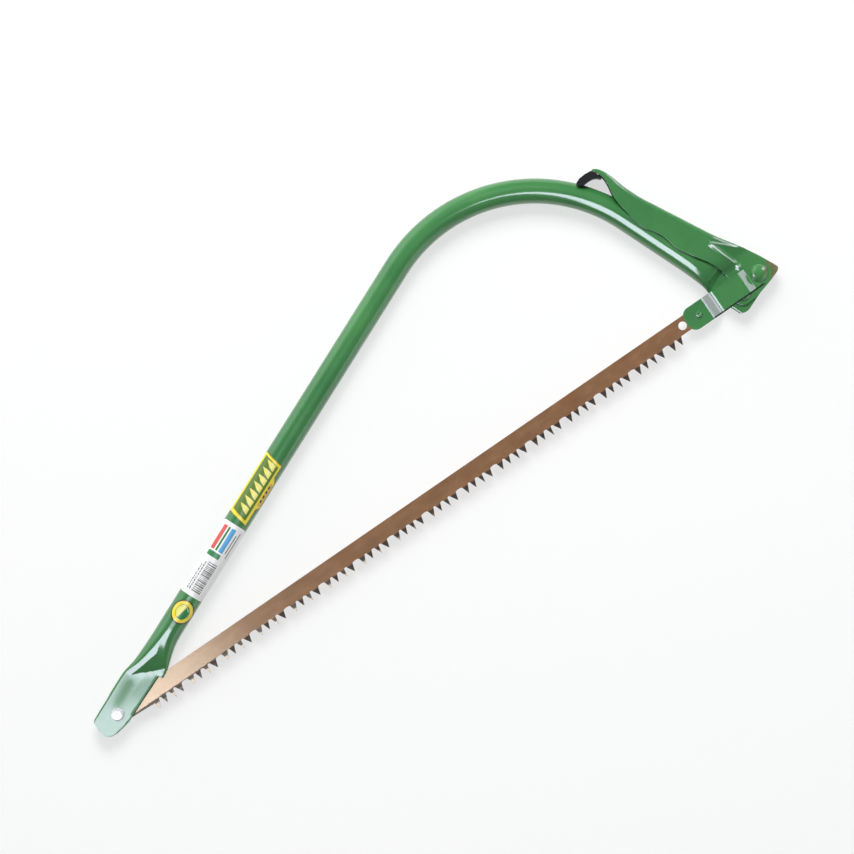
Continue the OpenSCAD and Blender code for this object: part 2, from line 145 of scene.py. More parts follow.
def bake(ob, sharp):
    """Applies the modifiers, so that the mesh is final."""
    dg = bpy.context.evaluated_depsgraph_get()
    me = bpy.data.meshes.new_from_object(ob.evaluated_get(dg))
    ob.modifiers.clear()
    ob.data = me
    shade(ob, sharp)


def recalc(ob):
    bm = bmesh.new()
    bm.from_mesh(ob.data)
    bmesh.ops.remove_doubles(bm, verts=bm.verts, dist=1e-6)
    bmesh.ops.recalc_face_normals(bm, faces=bm.faces)
    bm.to_mesh(ob.data)
    bm.free()


def bevel(ob, width, segments, angle):
    m = ob.modifiers.new("edge", "BEVEL")
    m.width = width * MM
    m.segments = segments
    m.limit_method = "ANGLE"
    m.angle_limit = math.radians(angle)
    m.harden_normals = False


def grid_faces(rows, cols, wrap=False, flip=False):
    out = []
    for i in range(rows - 1):
        for j in range(cols if wrap else cols - 1):
            k = (j + 1) % cols
            quad = (i * cols + j, (i + 1) * cols + j, (i + 1) * cols + k, i * cols + k)
            out.append(quad[::-1] if flip else quad)
    return out


def prism(name, outline, z0, z1, mat, holes=()):
    """Flat polygon with holes, given thickness."""
    pts, edges = [], []
    for ring in [outline, *holes]:
        edges += ring_edges(len(pts), len(ring))
        pts += [Vector((p[0], p[1])) for p in ring]
    flat, _, tris, *_ = delaunay_2d_cdt(pts, edges, [], 1, 1e-6)

    def in_hole(face):
        x, y = (sum(flat[i][axis] for i in face) / len(face) for axis in (0, 1))
        return any(inside(x, y, hole) for hole in holes)

    tris = [f for f in tris if not in_hole(f)]
    n = len(flat)
    verts = [(p[0], p[1], z) for z in (z1, z0) for p in flat]
    faces = [tuple(f) for f in tris] + [tuple(n + i for i in reversed(f)) for f in tris]
    # a dict keeps the walls in the order of the faces
    faces += [(b, a, n + a, n + b) for a, b in border(dict.fromkeys(directed_edges(tris)))]
    ob = new_object(name, verts, faces, [mat])
    recalc(ob)
    shade(ob, 40)
    return ob


def lathe(name, cx, cy, profile, mat, n=96):
    """Turned piece about Z at (cx, cy). The profile is (radius, z), from the bottom up."""
    verts = [(x, y, z) for r, z in profile for x, y in circle(cx, cy, r, n)]
    ob = new_object(name, verts, grid_faces(len(profile), n, wrap=True, flip=True), [mat])
    recalc(ob)
    shade(ob, 35)
    return ob


def sheet(name, grid, mats, side, bev, sharp, drop=None):
    """Thin pressed sheet from a grid of points, thickened to the side given as 1 or -1.

    Faces go where drop is true of their centre.
    """
    points = grid.reshape(-1, 3)
    faces = grid_faces(*grid.shape[:2])
    if drop is not None:
        faces = [f for f in faces if not drop(points[list(f)].mean(0))]
    ob = new_object(name, points, faces, mats)
    bm = bmesh.new()
    bm.from_mesh(ob.data)
    bmesh.ops.remove_doubles(bm, verts=bm.verts, dist=2e-5)
    bmesh.ops.dissolve_degenerate(bm, edges=bm.edges, dist=1e-6)
    loose = [v for v in bm.verts if not v.link_faces]
    bmesh.ops.delete(bm, geom=loose, context="VERTS")
    bm.to_mesh(ob.data)
    bm.free()
    m = ob.modifiers.new("thick", "SOLIDIFY")
    m.thickness = SHEET * MM
    m.offset = side
    m.use_even_offset = False
    bevel(ob, bev, segments=2, angle=50)
    bake(ob, sharp)
    return ob


def place(ob, body, node=None):
    """Tells the frame which body carries the piece, and hides the imported part it stands for."""
    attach(ob, body)
    if node:
        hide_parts(node)


def dress(name, mat, width, segments):
    """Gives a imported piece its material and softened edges."""
    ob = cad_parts[name]
    ob.data.materials.clear()
    ob.data.materials.append(mat)
    bevel(ob, width, segments, angle=35)


# ---------------------------------------------------------------- shader nodes
def node_mat(name):
    m = bpy.data.materials.new(name)
    m.use_nodes = True
    tree = m.node_tree
    tree.nodes.clear()
    out = tree.nodes.new("ShaderNodeOutputMaterial")
    shader = tree.nodes.new("ShaderNodeBsdfPrincipled")
    tree.links.new(shader.outputs[0], out.inputs[0])
    return m, tree, shader


def add(tree, kind, **settings):
    node = tree.nodes.new(kind)
    for key, value in settings.items():
        setattr(node, key, value)
    return node


def feed(tree, value, socket):
    """Links a socket, or sets a colour or a number."""
    if isinstance(value, bpy.types.NodeSocket):
        tree.links.new(value, socket)
    elif isinstance(value, tuple):
        socket.default_value = (*value, 1)
    else:
        socket.default_value = value


def set_inputs(node, values):
    for key, value in values.items():
        node.inputs[key].default_value = value


def noise(tree, scale, detail=3.0, rough=0.55, stretch=(1, 1, 1)):
    coords = add(tree, "ShaderNodeTexCoord")
    mapping = add(tree, "ShaderNodeMapping")
    mapping.inputs["Scale"].default_value = stretch
    tex = add(tree, "ShaderNodeTexNoise")
    set_inputs(tex, {"Scale": scale, "Detail": detail, "Roughness": rough})
    tree.links.new(coords.outputs["Object"], mapping.inputs[0])
    tree.links.new(mapping.outputs[0], tex.inputs["Vector"])
    return tex.outputs["Fac"]


def ramp(tree, fac, stops):
    """Colour ramp; each stop is a position and a colour."""
    node = add(tree, "ShaderNodeValToRGB")
    elements = node.color_ramp.elements
    while len(elements) < len(stops):
        elements.new(0.5)
    for element, (position, rgb) in zip(elements, stops):
        element.position = position
        element.color = (*rgb, 1)
    tree.links.new(fac, node.inputs[0])
    return node.outputs[0]


def mix_colour(tree, fac, a, b):
    node = add(tree, "ShaderNodeMix", data_type="RGBA")
    for slot, value in ((0, fac), (6, a), (7, b)):
        feed(tree, value, node.inputs[slot])
    return node.outputs[2]


def math_node(tree, operation, *values, clamp=False):
    node = add(tree, "ShaderNodeMath", operation=operation, use_clamp=clamp)
    for value, socket in zip(values, node.inputs):
        feed(tree, value, socket)
    return node.outputs[0]


def wander(tree, fac, reach):
    """Noise centred on zero and scaled to the reach."""
    return math_node(tree, "MULTIPLY", math_node(tree, "SUBTRACT", fac, 0.5), reach)


def rise(tree, value, slope, offset):
    """Straight line through the value, held between 0 and 1."""
    return math_node(tree, "MULTIPLY_ADD", value, slope, offset, clamp=True)


def grey_level(tree, colour):
    node = add(tree, "ShaderNodeSeparateColor")
    tree.links.new(colour, node.inputs[0])
    return node.outputs[0]


def bump(tree, shader, height, strength, dist):
    node = add(tree, "ShaderNodeBump")
    set_inputs(node, {"Strength": strength, "Distance": dist})
    tree.links.new(height, node.inputs["Height"])
    tree.links.new(node.outputs[0], shader.inputs["Normal"])


def lin(r, g, b):
    """Linear colour from sRGB values out of 255."""
    return tuple(((c / 255 + 0.055) / 1.055) ** 2.4 if c > 10 else c / 255 / 12.92
                 for c in (r, g, b))


# ---------------------------------------------------------------- materials
WORN_AT = (596.5, -3.5, 3.0)  # worn corner of the lever
WORN_REACH = 10.5


def wear_and_painted_highlight(tree, base):
    """Browns the paint around a worn corner, and paints a pale highlight where the mesh marks the
    beads and the dimple.
    """
    coords = add(tree, "ShaderNodeTexCoord")
    dist = add(tree, "ShaderNodeVectorMath", operation="DISTANCE")
    x, y, z = WORN_AT
    dist.inputs[1].default_value = ((x - DATUM) * MM, y * MM, z * MM)
    tree.links.new(coords.outputs["Object"], dist.inputs[0])
    away = math_node(tree, "DIVIDE", dist.outputs["Value"], WORN_REACH * MM)
    ragged = noise(tree, scale=420.0, detail=4.0, rough=0.65)
    away = math_node(tree, "ADD", away, wander(tree, ragged, reach=0.5))
    amount = ramp(tree, away, [(0.70, (1, 1, 1)), (1.0, (0, 0, 0))])
    rust = ramp(tree, noise(tree, scale=300.0, detail=4.0),
                [(0.35, lin(98, 104, 66)), (0.65, lin(122, 118, 82))])
    base = mix_colour(tree, grey_level(tree, amount), base, rust)
    # the pale colour along the beads and on the dimple is a painted highlight
    painted_highlight = add(tree, "ShaderNodeAttribute", attribute_name="painted_highlight")
    return mix_colour(tree, painted_highlight.outputs["Fac"], base, lin(214, 232, 220))


def green_paint(name, wear_and_highlight=False):
    m, tree, shader = node_mat(name)
    broad = noise(tree, scale=22.0)
    fine = noise(tree, scale=900.0, detail=2.0)
    base = ramp(tree, broad, [(0.3, lin(53, 121, 65)), (0.7, lin(70, 138, 75))])
    # the lever's paint gets real wear at a corner and a painted highlight on its beads
    if wear_and_highlight:
        base = wear_and_painted_highlight(tree, base)
    tree.links.new(base, shader.inputs["Base Color"])
    set_inputs(shader, {"Roughness": 0.16, "Specular IOR Level": 0.5,
                        "Coat Weight": 0.6, "Coat Roughness": 0.12})
    bump(tree, shader, fine, strength=0.03, dist=0.00005)
    return m


def plain(name, rgb, rough, metal=0.0, coat=0.0, spec=0.5):
    m, _, shader = node_mat(name)
    set_inputs(shader, {"Base Color": (*lin(*rgb), 1), "Roughness": rough, "Metallic": metal,
                        "Coat Weight": coat, "Specular IOR Level": spec})
    return m


def zinc_mat():
    m, tree, shader = node_mat("zinc_plate")
    tone = ramp(tree, noise(tree, scale=700.0),
                [(0.3, lin(205, 207, 210)), (0.7, lin(238, 239, 240))])
    tree.links.new(tone, shader.inputs["Base Color"])
    set_inputs(shader, {"Metallic": 0.35, "Roughness": 0.32})
    return m


def blade_mat():
    m, tree, shader = node_mat("blade_brown")
    coords = add(tree, "ShaderNodeTexCoord")
    axes = add(tree, "ShaderNodeSeparateXYZ")
    tree.links.new(coords.outputs["Object"], axes.inputs[0])
    cloud = noise(tree, scale=55.0, detail=4.0, rough=0.6, stretch=(1, 2.2, 1))
    brown = ramp(tree, cloud, [(0.25, lin(126, 92, 66)), (0.5, lin(139, 101, 73)),
                               (0.75, lin(153, 112, 82))])
    red = ramp(tree, noise(tree, scale=24.0, detail=2.0),
               [(0.5, (0, 0, 0)), (0.75, (0.5, 0.5, 0.5))])
    brown = mix_colour(tree, grey_level(tree, red), brown, lin(132, 84, 56))
    # the lacquer stops near the roots of the teeth, along a slightly ragged line
    ragged = wander(tree, noise(tree, scale=260.0), reach=0.0012)
    height = math_node(tree, "ADD", axes.outputs["Y"], ragged)
    lacquer = rise(tree, height, slope=1600.0, offset=11.2)
    steel = ramp(tree, noise(tree, scale=500.0), [(0.3, lin(52, 46, 44)), (0.7, lin(84, 76, 72))])
    colour = mix_colour(tree, lacquer, steel, brown)
    tree.links.new(colour, shader.inputs["Base Color"])
    # a band between the lacquer and the bright teeth loses most of its reflection, a painted shadow
    # along the blade's lower edge
    bare = math_node(tree, "SUBTRACT", 1.0, lacquer)
    above_teeth = rise(tree, height, slope=1300.0, offset=13.4)
    shadow_band = math_node(tree, "MULTIPLY", bare, above_teeth)
    # full specular level, less 0.85 of it in the band
    specular = math_node(tree, "MULTIPLY_ADD", shadow_band, -0.85, 1.0)
    tree.links.new(specular, shader.inputs["Specular IOR Level"])
    set_inputs(shader, {"Metallic": 0.0, "Roughness": 0.10,
                        "Specular Tint": (1.0, 0.86, 0.58, 1)})
    grain = noise(tree, scale=300.0, rough=0.6, stretch=(0.5, 6, 1))
    bump(tree, shader, grain, strength=0.04, dist=0.0001)
    return m


GREEN = green_paint("green_enamel")
GREEN_LEVER = green_paint("green_enamel_lever", wear_and_highlight=True)
ZINC = zinc_mat()
BLADE = blade_mat()
BLACK = plain("black_plastic", (14, 14, 11), rough=0.45, spec=0.18)
STEEL = plain("plain_steel", (150, 150, 150), rough=0.35, metal=0.9)
# near black for the inside of the tube, a painted shade in its hollow
DARK = plain("tube_inside", (18, 30, 20), rough=0.7)
# painted shade: a duller copy of the green paint without its reflection, and near black for dark
# gaps along edges
PAINTED_SHADE_GREEN = plain("painted_shade_green", (84, 138, 92), rough=0.5, spec=0.25)
PAINTED_SHADE_DARK = plain("painted_shade_dark", (16, 26, 17), rough=0.6, spec=0.2)

# ---------------------------------------------------------------- frame tube
# The long leg rises from the nose, bends over and drops to the heel, where the lever pivots.
# On each straight run u is the distance along it and v the distance across it.
LEG_ANGLE, DROP_ANGLE = math.radians(23.4), math.radians(68.1)
LEG_START = np.array([0.0, 0.9])
LEG_DIR = np.array([math.cos(LEG_ANGLE), math.sin(LEG_ANGLE)])
LEG_ACROSS = np.array([-LEG_DIR[1], LEG_DIR[0]])
LEG_LEN, BEND_R = 395.4, 122.4
BEND_CENTRE = LEG_START + LEG_LEN * LEG_DIR - BEND_R * LEG_ACROSS
DROP_DIR = np.array([math.cos(DROP_ANGLE), -math.sin(DROP_ANGLE)])
DROP_ACROSS = np.array([-DROP_DIR[1], DROP_DIR[0]])
HEEL_START = BEND_CENTRE + BEND_R * DROP_ACROSS + 33.5 * DROP_DIR

RING_ANGLES = np.linspace(0, 2 * np.pi, 112, endpoint=False)
_SINE = np.sin(RING_ANGLES)
RING_SIGN = np.sign(np.where(np.abs(_SINE) < 1e-9, 0, _SINE))  # which face of the tube

# outline of the flattened nose, (x, y); its first two and last two points lie clear of the tube
NOSE_OUT = np.array([
    [60, 60], [20, 40], [14.5, 21.6], [8, 18.4], [0, 14.3], [-10, 9.9], [-17.3, 6.4],
    [-18.3, 5.2], [-18.7, 3.2], [-18.8, -4.0], [-18.0, -7.2], [-16.0, -9.9], [-12.8, -11.4],
    [-9, -11.7], [-2.5, -10.8], [3.3, -9.5], [9.2, -7.4], [20, -2.8], [30, 1.2], [39.6, 5.1],
    [41.6, 5.8], [42.4, 5.2], [43.2, 2.6], [80, 14], [120, 60]], float)
NOSE_UV = np.stack([(NOSE_OUT - LEG_START) @ LEG_DIR, (NOSE_OUT - LEG_START) @ LEG_ACROSS], 1)
# edges of the pressed nose before it is trimmed to the outline, (u, v)
NOSE_HIGH = np.array([(-30, 12.7), (27, 12.7), (31, 12.3), (35, 11.4), (40, 10.5), (46, 10.0),
                      (54, 9.7), (62, 9.5), (90, 9.5)])
NOSE_LOW = np.array([(-30, -15.1), (36, -15.2), (41, -15.3), (46, -15.0), (50, -14.1),
                     (55, -12.7), (60, -11.4), (66, -10.2), (72, -9.65), (78, -9.5), (90, -9.5)])
NOSE_HALF = 2.0  # half thickness of the flat
# how far the flat sinks with u, in its upper and its lower half
DIP_U = np.arange(-4.0, 45.0, 1.0)
DIP_Z = np.cumsum(0.026 * (ease((DIP_U + 3) / 12) * (1 - ease((DIP_U - 24) / 7))))
LOW_U = np.arange(-4.0, 60.0, 1.0)
LOW_Z = np.cumsum(0.012 * (ease((LOW_U - 4) / 20) * (1 - ease((LOW_U - 33) / 5))))

# half thickness and middle of the flattened heel, (u, mm)
HEEL_HALF = np.array([(-20, 9.5), (19, 9.5), (26, 9.35), (32, 8.8), (37, 7.9), (41, 6.7),
                      (44.4, 5.2), (46.8, 3.7), (48.6, 2.3), (49.4, 1.62), (50.5, 1.6),
                      (200, 1.6)])
HEEL_MIDDLE = np.array([(-20, 0), (26, 0), (36, 0.3), (42, 0.9), (48, 1.9), (50, 2.0), (200, 2.0)])
HEEL_END = 82.3
HEEL_CORNER = HEEL_END - 9
HEEL_EYE_U, HEEL_EYE_V, HEEL_EYE_R = 71.3, 2.5, 13.9  # arc that rounds the end's high-v side

SLIT_UV = [(-30, -30), (46, -30), (53.2, -13.9), (51.5, -9.5), (49, 0), (34, 9), (25, 11.2),
           (-30, 11.2)]


def nose_span(u):
    """Extent across the tube of the nose's outline at distance u."""
    vs = []
    for i in range(len(NOSE_UV)):
        a, b = NOSE_UV[i], NOSE_UV[(i + 1) % len(NOSE_UV)]
        if (a[0] - u) * (b[0] - u) < 0:
            t = (u - a[0]) / (b[0] - a[0])
            vs.append(a[1] + t * (b[1] - a[1]))
    return (min(vs), max(vs)) if len(vs) >= 2 else None


def nose_half(u, v):
    """Half thickness: flat up to a slanted crease, a facet rising to a crest, then the tube."""
    t = np.clip((u - 30.0) / 45.0, 0, 1)
    growth = (TUBE_R - NOSE_HALF) * (1 - (1 - t) ** 1.4)
    crest = np.interp(u, [30, 54, 64, 74, 90], [6.2, -1.0, 1.5, 2.2, 2.0])
    crease = 6.2 - (u - 30.2) / 0.9
    k = np.clip((v - crease) / max(crest - crease, 0.4), 0, 1)
    k = k + (1 - k) * float(ease((u - 54) / 22))
    # the flat dips gently away from the tip, in its upper and its lower half
    upper = np.interp(u, DIP_U, DIP_Z) * np.exp(-((v - 3.7) / 5.2) ** 2)
    upper = upper * float(1 - ease((u - 31) / 9))
    lower = np.interp(u, LOW_U, LOW_Z) * ease((-0.6 - v) / 3.0)
    lower = lower * float(1 - ease((u - 36) / 8))
    dimple = 0.16 * np.exp(-(((u - 40.6) / 2.6) ** 2 + ((v + 9.4) / 2.4) ** 2))
    return NOSE_HALF + growth * k - upper - lower - dimple


def ring_height(v, middle, half_width, half):
    """Height over v of a flattened ring with round ends."""
    half = np.minimum(half, half_width)
    over = np.maximum(0, np.abs(v - middle) - (half_width - half))
    return np.sqrt(np.maximum(half * half - over * over, 0))


def edge_round(distance, width, depth):
    """How far the face falls at a distance from a rounded edge."""
    d = np.clip(distance / width, 0, 1)
    return depth * (1 - np.sqrt(1 - (1 - d) ** 2))


def spread(low, high):
    """Values of v around a ring between two edges."""
    return (low + high) / 2 + (high - low) / 2 * np.cos(RING_ANGLES)


def nose_section(u):
    high, low = soft_interp(u, NOSE_HIGH, 1.6), soft_interp(u, NOSE_LOW, 1.6)
    top, bottom = high, low
    cut = nose_span(u) if u < 44.5 else None
    if cut:
        bottom, top = max(low, cut[0]), min(high, cut[1])
    v = spread(bottom, top)
    z = ring_height(v, (high + low) / 2, (high - low) / 2, nose_half(u, v))
    # only the cut edges are rounded over
    if bottom > low + 0.05:
        z = z - edge_round(np.abs(v - bottom), width=1.9 if u > -10 else 0.7, depth=0.42)
    if top < high - 0.05:
        z = z - edge_round(np.abs(v - top), width=0.5, depth=0.45)
    return v, z * RING_SIGN


def heel_section(u):
    half = soft_interp(u, HEEL_HALF, 0.7)
    middle = soft_interp(u, HEEL_MIDDLE, 2.0)
    # the tube's girth stays the same as it flattens
    half_width = (math.pi * TUBE_R - math.pi * half + 2 * half) / 2
    low, high = middle - half_width, middle + half_width
    if u > HEEL_CORNER:
        corner_r = HEEL_END - HEEL_CORNER
        low = max(low, -4.2 - math.sqrt(max(corner_r ** 2 - (u - HEEL_CORNER) ** 2, 0)))
    if u > HEEL_EYE_U:
        arc = math.sqrt(max(HEEL_EYE_R ** 2 - (u - HEEL_EYE_U) ** 2, 1))
        high = min(high, HEEL_EYE_V + arc)
    v = spread(low, high)
    z = ring_height(v, middle, half_width, half)
    if u > HEEL_CORNER:
        for distance in (np.abs(v - low), np.abs(v - high), HEEL_END - u):
            z = z - edge_round(distance, width=0.4, depth=0.4)
    return v, z * RING_SIGN


def tube_rings():
    rings = []

    def put(centre, across, v, z):
        rings.append(np.c_[centre[None, :] + v[:, None] * across[None, :], z])

    round_ring = TUBE_R * np.cos(RING_ANGLES), TUBE_R * np.sin(RING_ANGLES)
    tip = NOSE_UV[:, 0].min() + 0.03
    near_tip = tip + np.array([0, 0.15, 0.4, 0.8, 1.3, 1.9, 2.6, 3.4])
    for u in np.r_[near_tip, np.arange(tip + 4.4, 88, 0.8)]:
        put(LEG_START + u * LEG_DIR, LEG_ACROSS, *nose_section(u))
    for u in np.arange(96, LEG_LEN, 12):
        put(LEG_START + u * LEG_DIR, LEG_ACROSS, *round_ring)
    turn = LEG_ANGLE + DROP_ANGLE
    for t in np.linspace(0, 1, 56):
        a = math.pi / 2 + LEG_ANGLE - turn * t
        across = np.array([math.cos(a), math.sin(a)])
        put(BEND_CENTRE + BEND_R * across, across, *round_ring)
    near_end = HEEL_END - np.array([0.9, 0.6, 0.35, 0.2, 0.1, 0.03, 0.0])
    for u in np.r_[np.arange(-30, 18, 6.0), np.arange(18, 54, 0.8), np.arange(54, 73, 3.0),
                   np.arange(73.3, HEEL_END - 1, 0.8), near_end]:
        put(HEEL_START + u * DROP_DIR, DROP_ACROSS, *heel_section(u))
    return np.array(rings)


def cut_slit(ob):
    """Opens the gap between the two walls of the flattened nose."""
    outline = [tuple(LEG_START + u * LEG_DIR + v * LEG_ACROSS) for u, v in SLIT_UV]
    cutter = prism("cutter", outline, -0.5, 0.5, DARK)
    m = ob.modifiers.new("slit", "BOOLEAN")
    m.operation = "DIFFERENCE"
    m.solver = "EXACT"
    m.object = cutter
    bake(ob, 42)
    bpy.data.objects.remove(cutter)


def paint_nose_edge_shade(me):
    """Paints shade along the nose's lower edge: near black beside the blade, and a duller green
    copy of the paint, without its reflection, around it.
    """
    me.materials.append(PAINTED_SHADE_GREEN)
    me.materials.append(PAINTED_SHADE_DARK)
    dark_shade_slot = len(me.materials) - 1
    green_shade_slot = dark_shade_slot - 1
    a, b = np.array([9.2, -7.4]), np.array([41.6, 5.8])  # ends of the sheared edge
    along = (b - a) / np.linalg.norm(b - a)
    across = np.array([-along[1], along[0]])
    left, bottom = -9, -11.7  # where the duller painted shade under the nose begins
    for face in me.polygons:
        p = np.array([face.center.x / MM + DATUM, face.center.y / MM])
        z = abs(face.center.z)
        s, d = (p - a) @ along, abs((p - a) @ across)
        beside = -1 < s < 34.5
        # near black along the cut edge and duller green around it are painted shade
        if beside and d < 0.75 + 0.25 * min(max(s / 20, 0), 1) and z < 2.6 * MM:
            face.material_index = dark_shade_slot
        elif beside and d < 2.5 and z < 3 * MM:
            face.material_index = green_shade_slot
        elif left < p[0] < 9.2 and z < 3 * MM:
            if p[1] < bottom + 4.3 * max((p[0] - left) / 18.2, 0) ** 1.3 + 1.0:
                face.material_index = green_shade_slot


def build_tube():
    grid = tube_rings()
    rows, cols, _ = grid.shape
    faces = grid_faces(rows, cols, wrap=True)
    faces.append(tuple(range(cols)))
    faces.append(tuple((rows - 1) * cols + i for i in reversed(range(cols))))
    ob = new_object("tube_body", grid.reshape(-1, 3), faces, [GREEN, DARK])
    recalc(ob)
    cut_slit(ob)
    paint_nose_edge_shade(ob.data)
    place(ob, "frame", "frame_tube")


build_tube()

# ---------------------------------------------------------------- tension lever
# A channel open towards the nose. Both edges are (x, y) and are matched point for point.
LEVER_OPEN = np.array([
    (524.4, 134.6), (526.5, 131.6), (528.0, 127.6), (528.7, 123.4), (528.4, 118.6),
    (527.5, 113.6), (526.8, 109), (526.8, 104), (527.7, 97), (528.6, 91), (529.8, 84.5),
    (531.2, 79), (532.9, 76.0), (535.6, 72.6), (538.6, 68.0), (540.9, 62.5), (542.2, 57),
    (543.0, 52.6), (545.2, 47.8), (548.0, 43.2), (551.4, 37.6), (555.0, 32.4), (558.2, 27.2),
    (560.6, 22.0), (562.2, 17.2), (563.6, 11.5), (563.0, 8.0), (560.2, 4.2), (557.9, 0.0),
    (557.0, -5.0), (557.9, -9.0), (560.2, -12.2), (563.2, -14.0)], float)
LEVER_BACK = np.array([
    (525.2, 135.3), (528.2, 133.6), (530.8, 130.2), (532.9, 125.8), (534.7, 120.6),
    (536.0, 116.0), (537.0, 112.8), (538.0, 109.6), (540.0, 104.6), (542.0, 99.6),
    (544.4, 94.6), (547.2, 89.6), (549.7, 85.0), (552.3, 80.0), (555.0, 75.0), (557.8, 70),
    (560.6, 64.6), (563.4, 59.4), (566.2, 54.2), (568.9, 49.2), (571.6, 44.4), (574.5, 39.4),
    (577.6, 34.8), (581.0, 30.0), (584.4, 24.8), (588.2, 18.0), (591.4, 12.4), (594.6, 6.0),
    (597.8, -0.6), (599.2, -4.0), (597.6, -6.2), (588.0, -9.6), (574.0, -13.4)], float)
LEVER_ROWS, WALL_COLS, CORNER_COLS, WEB_COLS = 300, 84, 8, 8
# half width by y: the wall outside the pocket, and the pocket's floor
WALL_HALF = np.array([(0, EAR_HALF), (12.5, EAR_HALF), (14.5, 3.5), (17.5, 5.0), (21, 7.3),
                      (25, 8.9), (30, 10.0), (36, 10.9), (41, CHANNEL_HALF),
                      (200, CHANNEL_HALF)])
POCKET_HALF = np.array([(19, EAR_HALF), (41, CHANNEL_HALF)])
POCKET_TOP, POCKET_FOOT = np.array([566.2, 39.4]), np.array([574.4, 15.2])  # on its edge


def side_of(p, a, b):
    """Signed distance of p from the line through a and b."""
    d = b - a
    return ((p[..., 0] - a[0]) * d[1] - (p[..., 1] - a[1]) * d[0]) / np.linalg.norm(d)


def soft_ramp(d, width):
    """0 to 1 over the width, with an even radius at both ends."""
    r = width / 4

    def bent(x):
        return np.where(x < 0, 0, np.where(x < 2 * r, x * x / (4 * r), x - r))

    return np.clip((bent(d) - bent(d - (width - 2 * r))) / (width - 2 * r), 0, 1)


def pocket_z(y):
    """Pressed pocket: its floor runs from the full width of the channel down to the ears."""
    return soft_interp(y, POCKET_HALF, 2)


def bead(p, a, b, height, half):
    """Raised line from a to b, fading out at its ends."""
    a, b = np.array(a), np.array(b)
    length = np.linalg.norm(b - a)
    t = ((p - a) @ (b - a)) / length
    d = side_of(p, a, b)
    return height * np.exp(-(d / half) ** 2) * ease(t / 1.5) * ease((length - t) / 2.5)


def wall_z(p):
    """Height of the lever's wall above its middle plane."""
    y = p[..., 1]
    wall = soft_interp(y, WALL_HALF, 1.2)
    in_pocket = soft_ramp(-side_of(p, POCKET_TOP, POCKET_FOOT) + 1.6, 5.0)
    z = wall + (pocket_z(y) - wall) * in_pocket
    z = np.where(y > 41.5, CHANNEL_HALF, np.where(y < 13, EAR_HALF, z))
    z = z + bead(p, (565.6, 39.4), (574.3, 15.6), height=0.62, half=0.85)
    z = z + bead(p, (566.8, 40.6), (583.6, 24.6), height=0.5, half=0.95)
    # pressed dimple beside the link plate
    d = np.hypot(p[..., 0] - 575.0, p[..., 1] - 13.0)
    return z + 0.9 * np.exp(-(d / 2.0) ** 2)


def painted_highlight_at(x, y, z):
    """How strongly the beads and the dimple get the pale painted highlight, 0 to 1."""
    if abs(z) <= 2:
        return 0.0
    p = np.array([x, y])
    k = float(bead(p, (565.9, 39.2), (574.4, 15.8), height=0.85, half=0.5))
    k += float(bead(p, (567.4, 39.8), (583.4, 24.9), height=0.85, half=0.55))
    if z > EAR_HALF - 2:
        k += 0.7 * math.exp(-(((x - 575.2) ** 2 + (y - 12.9) ** 2) / 1.2))
    return min(k, 1.0)


def lever_row(front, back):
    """One strip of the sheet: along a wall, round its corner, over the web and back."""
    length = np.linalg.norm(back - front)
    d = (back - front) / length
    y = back[1]
    corner = 3.6 * float(ease((y - 23.0) / 5.0)) * min(1.0, length / 9.0) + 0.02
    flat = front + d * ((length - corner) * np.linspace(0, 1, WALL_COLS))[:, None]
    half = [(px, py, pz) for (px, py), pz in zip(flat, wall_z(flat))]
    # the wall's corner follows the pocket's height, to carry the web
    top = float(pocket_z(y)) if y > 24.5 else EAR_HALF
    for a in np.linspace(0, math.pi / 2, CORNER_COLS + 1)[1:]:
        p = back - d * (corner - corner * math.sin(a))
        half.append((p[0], p[1], top - corner + corner * math.cos(a)))
    z0 = top - corner
    web = [(back[0], back[1], z) for z in np.linspace(z0, -z0, WEB_COLS + 2)[1:-1]]
    return half + web + [(px, py, -pz) for px, py, pz in reversed(half)]


def build_lever():
    index = np.arange(len(LEVER_OPEN))
    s = np.linspace(0, len(LEVER_OPEN) - 1, LEVER_ROWS)

    def refine(edge, passes):
        return smooth_path(np.stack([np.interp(s, index, edge[:, i]) for i in (0, 1)], 1), passes)

    edges = zip(refine(LEVER_OPEN, 6), refine(LEVER_BACK, 8))
    grid = np.array([lever_row(front, back) for front, back in edges])

    def no_web(centre):
        """Below the channel the two ears stand apart."""
        return centre[1] < 25.2 and abs(centre[2]) < EAR_HALF - 0.05

    # the sheet's own thickness goes inwards
    ob = sheet("lever_body", grid, [GREEN_LEVER], side=-1, bev=0.28, sharp=40, drop=no_web)
    # pale paint along the beads and on the dimple, a painted highlight
    painted_highlight = ob.data.attributes.new("painted_highlight", "FLOAT", "POINT")
    for v in ob.data.vertices:
        painted_highlight.data[v.index].value = painted_highlight_at(v.co.x / MM + DATUM, v.co.y / MM, v.co.z / MM)
    place(ob, "lever", "tension_lever")


def build_hook():
    """Hook at the lever's end, inside its sleeve."""
    middle = [(534.0, 118.6), (533.0, 122.6), (531.0, 126.8), (528.6, 130.0), (525.4, 131.9),
              (521.4, 132.6), (516.6, 132.6), (512.9, 131.9)]
    middle = smooth_path(path_resample(middle, 0.8), 6)
    along = np.gradient(middle, axis=0)
    along /= np.linalg.norm(along, axis=1)[:, None]
    across = np.stack([-along[:, 1], along[:, 0]], 1)
    grid = np.array([[(p[0] - n[0] * 0.8, p[1] - n[1] * 0.8, z) for z in np.linspace(-8.6, 8.6, 12)]
                     for p, n in zip(middle, across)])
    ob = sheet("lever_hook", grid, [GREEN_LEVER], side=-1, bev=0.3, sharp=40)
    place(ob, "lever")


build_lever()
build_hook()
dress("lever_grip_sleeve", BLACK, width=0.9, segments=3)


